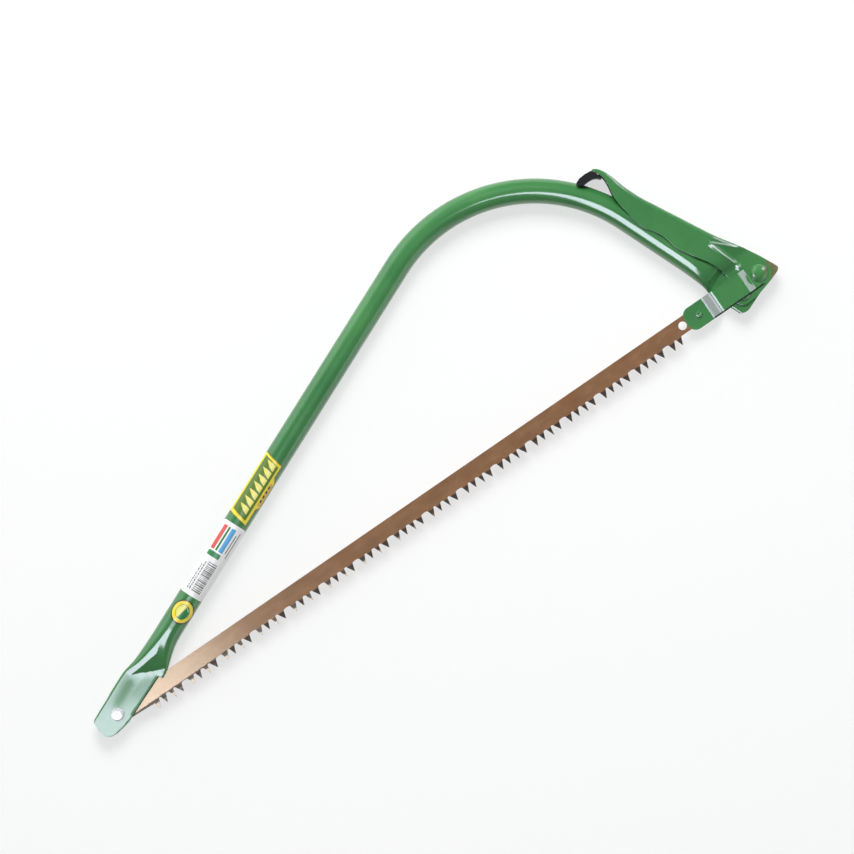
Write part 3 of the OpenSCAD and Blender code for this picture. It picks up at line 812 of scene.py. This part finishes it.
# ---------------------------------------------------------------- rivets and pins
def domed(seat, radius, height):
    """Profile of a rivet with a domed head outside each seat, at plus and minus that z."""
    sphere = (radius * radius + height * height) / (2 * height)
    head = [(radius, seat - 0.25)]
    for a in np.linspace(math.asin(radius / sphere), 0.001, 22):
        head.append((sphere * math.sin(a), seat + height - sphere + sphere * math.cos(a)))
    shank = [(3.0, -seat + 0.3), (3.0, seat - 0.3)]
    return [(r, -z) for r, z in reversed(head)] + shank + head


def build_rivets():
    """Returns the link rivet, which the lights treat apart."""
    pivot = lathe("pivot_rivet", PIVOT_X, PIVOT_Y,
                  domed(EAR_HALF + 0.05, radius=6.4, height=3.6), GREEN)
    place(pivot, "frame", "lever_pivot_rivet")
    link = lathe("link_rivet", LINK_X, LINK_Y,
                 domed(EAR_HALF + SHEET + 0.1, radius=6.9, height=4.0), GREEN_LEVER)
    place(link, "lever", "link_pivot_rivet")
    return link


def build_pins():
    face = LINK_GAP + SHEET  # outer face of a link plate
    profile = [(0.01, -face - 1.15), (1.2, -face - 1.1), (2.1, -face - 0.8), (2.75, -face - 0.2),
               (2.8, -face + 0.1), (2.2, -face + 0.1), (2.2, face - 0.1), (2.8, face - 0.1),
               (2.75, face + 0.2), (2.3, face + 0.75), (1.9, face + 1.1), (1.4, face + 1.2),
               (0.9, face + 0.95), (0.5, face + 0.55), (0.01, face + 0.45)]
    place(lathe("link_pin", LINK_PIN_X, 0, profile, GREEN, 64),
          "link", "blade_link_pin")
    # grooved shank, and a head hollowed in its middle
    profile = [(0.01, -4.6), (2.5, -4.6), (2.9, -4.45), (3.2, -4.1), (3.2, -3.3), (2.5, -3.3),
               (2.5, -2.4), (3.2, -2.4), (3.2, 2.05), (4.8, 2.05), (4.95, 2.2), (4.95, 2.75),
               (4.8, 3.15), (4.45, 3.5), (3.9, 3.75), (3.0, 3.95), (2.0, 4.05), (1.35, 4.08),
               (1.15, 3.9), (1.0, 3.3), (0.8, 3.1), (0.01, 3.1)]
    place(lathe("nose_pin_turned", 0, 0, profile, ZINC), "frame", "nose_pin")


link_rivet = build_rivets()
build_pins()
dress("nose_pin_clip", ZINC, width=0.12, segments=2)
dress("link_pivot_spacer", STEEL, width=0.12, segments=2)

# ---------------------------------------------------------------- link plates
PLATE_HALF = 9.2     # half height, and the radius of the end at the lever
PLATE_START = 518.6
PLATE_CORNER = 6.5   # corner radius at the blade's end
PLATE_EAR = EAR_HALF + 0.05
PLATE_HUMP = 7.8
# inner face, (x, z): close at the blade, out over a hump, in again at the lever's ears
PLATE_PROFILE = [
    (517, LINK_GAP), (538.1, LINK_GAP), (539.4, LINK_GAP + 0.45), (545.7, PLATE_HUMP - 0.45),
    (546.9, PLATE_HUMP), (569.3, PLATE_HUMP), (570.6, PLATE_HUMP - 0.45),
    (575.4, PLATE_EAR + 0.4), (576.7, PLATE_EAR), (600, PLATE_EAR)]


def build_plate(side, name, node):
    profile = smooth_path(path_resample(PLATE_PROFILE, 0.3), 6)
    start, end = PLATE_START, LINK_X + PLATE_HALF
    xs = profile[:, 0]
    near = np.array([0.0, 0.06, 0.2, 0.45, 0.8, 1.2, 1.7])
    xs = np.r_[start + near, xs[(xs > start + 2) & (xs < end - 2)], end - near[::-1]]
    rows = []
    for x, z in zip(xs, np.interp(xs, profile[:, 0], profile[:, 1])):
        half = PLATE_HALF
        if x < start + PLATE_CORNER:
            arc = math.sqrt(max(PLATE_CORNER ** 2 - (start + PLATE_CORNER - x) ** 2, 0))
            half = PLATE_HALF - PLATE_CORNER + arc
        if x > LINK_X:
            half = math.sqrt(max(PLATE_HALF ** 2 - (x - LINK_X) ** 2, 0)) + 0.001
        # the middle line shifts up to the link rivet over the last 8 mm
        middle = LINK_Y * min(1, (x - LINK_X + 8) / 8) if x > LINK_X - 8 else 0.0
        ys = middle + half * np.sin(np.linspace(-math.pi / 2, math.pi / 2, 25))
        rows.append([(x, y, side * z) for y in ys])
    ob = sheet(name, np.array(rows), [GREEN, PAINTED_SHADE_DARK], side=side, bev=0.55, sharp=38)
    # the lower edge is painted near black, a painted shade under the plate
    for face in ob.data.polygons:
        x, y = face.center.x / MM + DATUM, face.center.y / MM
        faces_down = face.normal.y < -0.35 and abs(face.normal.x) < 0.5
        if faces_down or (y < -8.0 and 538 < x < 584):
            face.material_index = 1
    place(ob, "link", node)
    return ob


link_front = build_plate(1, "link_front", "link_plate_front")
build_plate(-1, "link_rear", "link_plate_back")

# ---------------------------------------------------------------- blade
GULLET_Y, TIP_Y = -5.9, -12.5
TOOTH_FOOT_Y = GULLET_Y - 1.1
BLADE_HALF = 0.4  # half thickness
FIRST_X, PITCH, GROUPS = 27.1, 31.4, 16  # teeth come in groups of four; the last has two
# within a group: start, tip and end along X, rise of the tip, side it is set to
TEETH = [(0, 1.9, 4.7, 0, 1), (7.0, 8.9, 11.0, 0.6, -1), (14.2, 16.6, 17.6, 0, 1),
         (20.2, 23.5, 25.2, 0.3, -1)]
# wide gullets, (distance from the nearer tooth, y above the gullet line)
WIDE_GULLET = [(0.15, -0.6), (0.5, -0.25), (1.2, 0.05)]


def gullet(end, following):
    """Bottom of the gap from one tooth's end to the next tooth."""
    if following - end > 4.5:
        return ([(end + dx, GULLET_Y + dy) for dx, dy in WIDE_GULLET]
                + [((end + following) / 2, GULLET_Y + 0.25)]
                + [(following - dx, GULLET_Y + dy) for dx, dy in reversed(WIDE_GULLET)])
    return [(end + (following - end) * m, GULLET_Y - 0.05 - 1.05 * (2 * m - 1) ** 4 * 0.8)
            for m in (0.1, 0.28, 0.5, 0.72, 0.9)]


def tooth_line():
    pts = [(-7, -7.3), (24.1, -7.3), (26.3, -7.6)]
    for group in range(GROUPS):
        x0 = FIRST_X + group * PITCH
        last = group == GROUPS - 1
        teeth = TEETH[:2] if last else TEETH
        nexts = [tooth[0] for tooth in teeth[1:]] + [None if last else PITCH]
        for (start, tip, end, up, _), following in zip(teeth, nexts):
            pts += [(x0 + start, TOOTH_FOOT_Y), (x0 + tip - 0.18, TIP_Y + up),
                    (x0 + tip + 0.18, TIP_Y + up), (x0 + end, TOOTH_FOOT_Y)]
            if following is not None:
                pts += gullet(x0 + end, x0 + following)
            else:
                pts.append((x0 + 11.8, GULLET_Y))
    return pts


def shape_blade(me):
    """Sets the teeth, and deepens the strip towards the nose."""
    co = np.zeros(len(me.vertices) * 3)
    me.vertices.foreach_get("co", co)
    co = co.reshape(-1, 3) / MM
    co[:, 0] += DATUM
    x, y, z = co.T
    # teeth set to alternate sides and filed towards the point
    offset = x - FIRST_X - np.floor((x - FIRST_X + 1) / PITCH) * PITCH
    tips = np.array([tooth[1] for tooth in TEETH])
    nearest = np.argmin(np.abs(offset[:, None] - tips[None, :]), 1)
    set_side = np.array([tooth[4] for tooth in TEETH])[nearest]
    co[:, 2] = np.where(y < -8, z * 0.55 - set_side * 0.5, z)
    # the lower edge is 1.5 lower near the nose
    deep = (1 - ease((x - 62) / 70)) * ease((x - 12) / 14)
    co[:, 1] += np.where(y < -5, -1.5 * deep, 0)
    co[:, 0] -= DATUM
    me.vertices.foreach_set("co", (co * MM).ravel())
    me.update()


def build_blade():
    lever_end = [(536.5, GULLET_Y), (538.6, GULLET_Y + 0.9), (539.3, GULLET_Y + 2.8),
                 (539.3, 3.9), (538.5, 5.7), (536.5, 6.5)]
    top = [(x, 6.5) for x in range(530, 0, -10)]
    nose_end = [(-6, 6.5), (-8.2, 5.1), (-9.3, 2.5), (-9.3, -4), (-8.6, -6.2)]
    # holes at the nose pin, the frame's origin and the link pin
    holes = [circle(0, 0, 3.25), circle(DATUM, 0, 3.25), circle(531.05, -0.45, 3.5)]
    ob = prism("blade_strip", tooth_line() + lever_end + top + nose_end,
               -BLADE_HALF, BLADE_HALF, BLADE, holes)
    shape_blade(ob.data)
    bevel(ob, 0.09, segments=1, angle=30)
    bake(ob, 25)
    place(ob, "blade", "saw_blade")


build_blade()

# ---------------------------------------------------------------- labels
# Films on the long leg, drawn in the leg's u and v.
FILM_BASE_R = 9.54           # just clear of the paint
FILM_THICK, PRINT_STEP = 0.13, 0.03
FILM_STILL_U, FILM_SHRINK = 305.8, 0.0024  # positions draw in towards this u by this share


def on_tube(u, v, r):
    v = np.clip(v, -r + 0.02, r - 0.02)
    p = LEG_START + u * LEG_DIR + v * LEG_ACROSS
    return (p[0], p[1], math.sqrt(r * r - v * v))


def film_mesh(outline):
    """Fills an outline with triangles; points are spaced evenly round the tube."""
    q = np.array(outline, float)
    q[:, 0] += (FILM_STILL_U - q[:, 0]) * FILM_SHRINK
    q[:, 1] = FILM_BASE_R * np.arcsin(np.clip(q[:, 1] / FILM_BASE_R, -0.985, 0.985))
    low, high = q.min(0), q.max(0)
    ring = path_resample(list(map(tuple, q)) + [tuple(q[0])], 0.55)[:-1]
    pts = [Vector(p) for p in ring]
    for a in np.arange(low[0] + 0.3, high[0] - 0.2, 1.6):
        for b in np.arange(low[1] + 0.3, high[1] - 0.2, 0.6):
            pts.append(Vector((a, b)))
    flat, _, tris, *_ = delaunay_2d_cdt(pts, ring_edges(0, len(ring)), [], 1, 1e-5)
    return [(p[0], FILM_BASE_R * math.sin(p[1] / FILM_BASE_R)) for p in flat], tris


def film(name, layers, node):
    """Layers are (outline in u and v, height step, material)."""
    verts, faces, mats, index = [], [], [], []
    for outline, step, mat in layers:
        if mat not in mats:
            mats.append(mat)
        flat, tris = film_mesh(outline)
        r = FILM_BASE_R + FILM_THICK + step * PRINT_STEP
        top = len(verts)
        verts += [on_tube(u, v * r / FILM_BASE_R, r) for u, v in flat]
        new = [tuple(top + i for i in t) for t in tris]
        if step == 0:
            # the film's own edge, down to the paint
            low = len(verts)
            verts += [on_tube(u, v, FILM_BASE_R) for u, v in flat]
            edges = border(set(directed_edges(tris)))
            new += [(top + b, top + a, low + a, low + b) for a, b in edges]
        faces += new
        index += [mats.index(mat)] * len(new)
    ob = new_object(name, verts, faces, mats, index=index)
    shade(ob, 45)
    place(ob, "frame", node)


def rounded(u0, u1, v0, v1, r, n=6):
    out = []
    corners = ((u1 - r, v1 - r, 0), (u0 + r, v1 - r, 90), (u0 + r, v0 + r, 180),
               (u1 - r, v0 + r, 270))
    for cu, cv, start in corners:
        angles = [math.radians(start + 90 * i / n) for i in range(n + 1)]
        out += [(cu + r * math.cos(a), cv + r * math.sin(a)) for a in angles]
    return out


def block(u0, u1, v0, v1, lean=0):
    """Four-sided block, leaning in proportion to the height above v = -6."""
    return [(u + (v + 6) * lean, v) for u, v in ((u0, v0), (u1, v0), (u1, v1), (u0, v1))]


PRINT = {name: plain(name, rgb, rough=0.3, coat=0.2) for name, rgb in (
    ("film_white", (244, 244, 242)), ("print_grey", (92, 90, 90)), ("print_dark", (40, 40, 42)),
    ("print_yellow", (246, 222, 62)), ("print_pale_yellow", (240, 232, 120)),
    ("print_green", (92, 124, 40)), ("print_olive", (104, 112, 30)),
    ("print_leaf", (40, 130, 70)), ("print_red", (218, 84, 72)), ("print_blue", (62, 160, 214)),
    ("print_orange", (226, 178, 60)))}
WHITE, GREY, INK = PRINT["film_white"], PRINT["print_grey"], PRINT["print_dark"]
YELLOW, PALE, LEAF = PRINT["print_yellow"], PRINT["print_pale_yellow"], PRINT["print_leaf"]


def round_label():
    def oval(scale, angles):
        return [(90.3 + 9.7 * scale * math.cos(a), -1.2 + 8.3 * scale * math.sin(a))
                for a in angles]

    def whole(scale):
        return oval(scale, np.linspace(0, 2 * math.pi, 72, endpoint=False))

    def part(scale, start, end):
        return oval(scale, np.radians(np.linspace(start, end, 30)))

    film("sticker_round",
         [(whole(1.0), 0, INK), (whole(0.90), 1, YELLOW), (whole(0.62), 2, LEAF),
          (whole(0.58), 3, PALE), (part(0.58, 165, 345), 4, LEAF),
          (part(0.50, 290, 350), 5, WHITE), (part(0.50, 20, 60), 4, PRINT["print_red"])],
         "label_round")


def code_label():
    rng = np.random.default_rng(7)
    left = 108.0
    layers = [(rounded(103.8, 167.0, -9.3, 9.3, 2.0), 0, WHITE)]
    # upright bars
    u = left
    while u < 133.5:
        width = float(rng.choice([0.35, 0.5, 0.7, 1.0]))
        layers.append((block(u, u + width, -5.2, 2.0), 1, GREY))
        u += width + float(rng.choice([0.45, 0.6, 0.9]))
    # two rows of dashes above them
    for v, end in ((3.4, 131.5), (5.2, 128.0)):
        u = left
        while u < end:
            width = float(rng.uniform(0.8, 2.6))
            layers.append((block(u, u + width, v, v + 0.8), 1, GREY))
            u += width + 0.6
    # plain colour blocks
    layers += [(block(143, 163.5, 4.0, 6.9), 1, PRINT["print_red"]),
               (block(143, 163.5, 1.4, 2.9), 1, LEAF),
               (block(143, 163.5, -3.2, 0.3), 1, PRINT["print_blue"]),
               (rounded(137.4, 141.6, -3.2, 6.9, 0.8), 1, LEAF),
               (block(144, 160, -5.4, -4.8), 1, GREY),
               (block(141, 163, -7.2, -6.7), 1, GREY)]
    film("sticker_code", layers, "label_code")


def panel_label():
    layers = [
        ([(169.8, -7.3), (183.9, -7.3), (186.6, -9.0), (207.9, -9.0), (212.9, -6.7),
          (222.9, -6.7), (227.2, 9.2), (174.2, 9.2)], 0, PRINT["print_olive"]),
        ([(170.5, -6.7), (184.5, -6.7), (187.0, -8.5), (207.5, -8.5), (212.5, -6.1),
          (222.3, -6.1), (226.4, 9.2), (174.8, 9.2)], 1, YELLOW),
        (block(172.9, 220.0, -4.7, 7.9, lean=0.30), 2, PRINT["print_green"])]
    # a row of plain saw teeth
    for i in range(7):
        u = 177.4 + i * 6.3
        tooth = [(u, -2.8), (u + 5.3, -2.8), (u + 6.2, 1.2), (u + 6.4, 5.4), (u + 2.4, 1.4)]
        layers.append((tooth, 3, PALE))
    # a strip with four dark marks below it
    strip = [(188.2, -8.3), (206.6, -8.3), (207.4, -6.0), (188.0, -6.0)]
    layers.append((strip, 2, PRINT["print_orange"]))
    for i in range(4):
        mark = [(190.5 + i * 4, -7.4), (192.6 + i * 4, -7.4), (193.2 + i * 4, -6.2),
                (191.1 + i * 4, -6.2)]
        layers.append((mark, 3, INK))
    film("sticker_panel", layers, "label_panel")


round_label()
code_label()
panel_label()

# ---------------------------------------------------------------- stage
FLOOR_Z, FLOOR_HALF = -11.6, 6000
# the view looks straight down, turned about Z
VIEW_TURN = math.radians(34.52)
VIEW_RIGHT = np.array([math.cos(VIEW_TURN), -math.sin(VIEW_TURN)])
VIEW_UP = np.array([-VIEW_RIGHT[1], VIEW_RIGHT[0]])
VIEW_CENTRE = np.array([313.6, 46.2])
VIEW_WIDTH, VIEW_DISTANCE, SENSOR = 641.9, 4000.0, 36


def build_floor():
    """A softly lit table."""
    m, _, shader = node_mat("studio_floor")
    set_inputs(shader, {"Base Color": (0.36, 0.36, 0.36, 1), "Roughness": 0.9,
                        "Specular IOR Level": 0.1, "Emission Color": (1, 1, 1, 1),
                        "Emission Strength": 0.64})
    corners = [(x * FLOOR_HALF, y * FLOOR_HALF, FLOOR_Z)
               for x, y in ((-1, -1), (1, -1), (1, 1), (-1, 1))]
    new_object("floor", corners, [(0, 1, 2, 3)], [m], smooth=False)


def view_point(x, y, z):
    """Point from its place in the view: right, up, height."""
    p = VIEW_CENTRE + x * VIEW_RIGHT + y * VIEW_UP
    return Vector(((p[0] - DATUM) * MM, p[1] * MM, z * MM))


def bearing(azimuth, tilt, dist):
    """Point at a bearing about Z and an angle from the vertical, seen from the view's middle."""
    a, t = math.radians(azimuth), math.radians(tilt)
    away = Vector((math.sin(t) * math.cos(a), math.sin(t) * math.sin(a), math.cos(t)))
    return view_point(0, 0, 0) + away * dist * MM


def area(name, pos, size, watts, rgb, rotation=None):
    """Area light, aimed at the view's middle unless a rotation is given."""
    light = bpy.data.lights.new(name, "AREA")
    light.shape = "RECTANGLE"
    light.size, light.size_y = size[0] * MM, size[1] * MM
    light.energy = watts
    light.color = rgb
    ob = bpy.data.objects.new(name, light)
    SC.collection.objects.link(ob)
    ob.location = pos
    if rotation is None:
        rotation = (view_point(0, 0, 0) - pos).to_track_quat("-Z", "Y").to_euler()
    ob.rotation_euler = rotation
    ob.visible_camera = False
    return ob


def all_but(name, ob):
    """Light-linking collection that leaves one object out; filled before it is assigned."""
    group = bpy.data.collections.new(name)
    group.objects.link(ob)
    return group


def exclude(group):
    for item in group.collection_objects:
        item.light_linking.link_state = "EXCLUDE"


def build_lights():
    key = area("key", view_point(-150, 1500, 1700), size=(1100, 1100), watts=46,
               rgb=(1.0, 1.0, 1.0))
    key.visible_glossy = False
    # large panel whose edge shows in the nose flat and along the short leg
    sideways = 2977  # distance from the view's middle, along the direction (-0.553, -0.833)
    panel = area("panel", view_point(-0.553 * sideways, -0.833 * sideways, 4280),
                 size=(4980, 2600), watts=470, rgb=(0.82, 0.83, 1.0),
                 rotation=(0, 0, math.radians(201.9)))
    panel.visible_diffuse = False
    # strips either side, low down
    for name, azimuth, width, watts in (("strip_left", 171, 1050, 34),
                                        ("strip_right", 7.75, 760, 17)):
        strip = area(name, bearing(azimuth, tilt=71, dist=2000), size=(width, 1180),
                     watts=watts, rgb=(0.93, 0.66, 1.0))
        strip.visible_diffuse = False
    # the front link plate throws no shadow from the key light
    passes = all_but("key_passes", link_front)
    key.light_linking.blocker_collection = passes
    exclude(passes)
    # the big panel is kept off the link rivet's dome
    skips = all_but("panel_skips", link_rivet)
    panel.light_linking.receiver_collection = skips
    exclude(skips)


def build_world():
    world = bpy.data.worlds.new("studio")
    SC.world = world
    world.use_nodes = True
    tree = world.node_tree
    lit = tree.nodes["Background"]
    lit.inputs[0].default_value = (0.95, 0.98, 1.0, 1)
    coords = add(tree, "ShaderNodeTexCoord")
    facing = add(tree, "ShaderNodeVectorMath", operation="DOT_PRODUCT")
    facing.inputs[1].default_value = (-0.397, 0.918, 0.0)  # square to the long leg
    tree.links.new(coords.outputs["Generated"], facing.inputs[0])

    def lobe(start, end, top):
        node = add(tree, "ShaderNodeMapRange", interpolation_type="SMOOTHSTEP")
        set_inputs(node, {"From Min": start, "From Max": end, "To Min": 0.0, "To Max": top})
        tree.links.new(facing.outputs["Value"], node.inputs["Value"])
        return node.outputs[0]

    # brighter low down above the long leg, dimmer low down below it
    bright = lobe(start=0.62, end=1.0, top=1.5)
    base = math_node(tree, "SUBTRACT", 1.45, lobe(start=-1.0, end=-0.80, top=1.2))
    tree.links.new(math_node(tree, "ADD", bright, base), lit.inputs[1])
    # seen directly the surroundings are plain and pale
    seen = add(tree, "ShaderNodeBackground")
    seen.inputs[0].default_value = (0.95, 0.96, 0.97, 1)
    seen.inputs[1].default_value = 0.95
    rays = add(tree, "ShaderNodeLightPath")
    pick = add(tree, "ShaderNodeMixShader")
    tree.links.new(rays.outputs["Is Camera Ray"], pick.inputs[0])
    tree.links.new(lit.outputs[0], pick.inputs[1])
    tree.links.new(seen.outputs[0], pick.inputs[2])
    tree.links.new(pick.outputs[0], tree.nodes["World Output"].inputs[0])


def build_camera():
    data = bpy.data.cameras.new("main")
    camera = bpy.data.objects.new("main", data)
    SC.collection.objects.link(camera)
    data.sensor_width = SENSOR
    data.lens = SENSOR * VIEW_DISTANCE / VIEW_WIDTH
    data.clip_end = 50
    camera.location = view_point(0, 0, VIEW_DISTANCE)
    camera.rotation_euler = (0, 0, -VIEW_TURN)
    SC.camera = camera
    SC.view_settings.view_transform = "Standard"
    SC.view_settings.look = "None"
    SC.view_settings.exposure = 0.0


build_floor()
build_lights()
build_world()
build_camera()
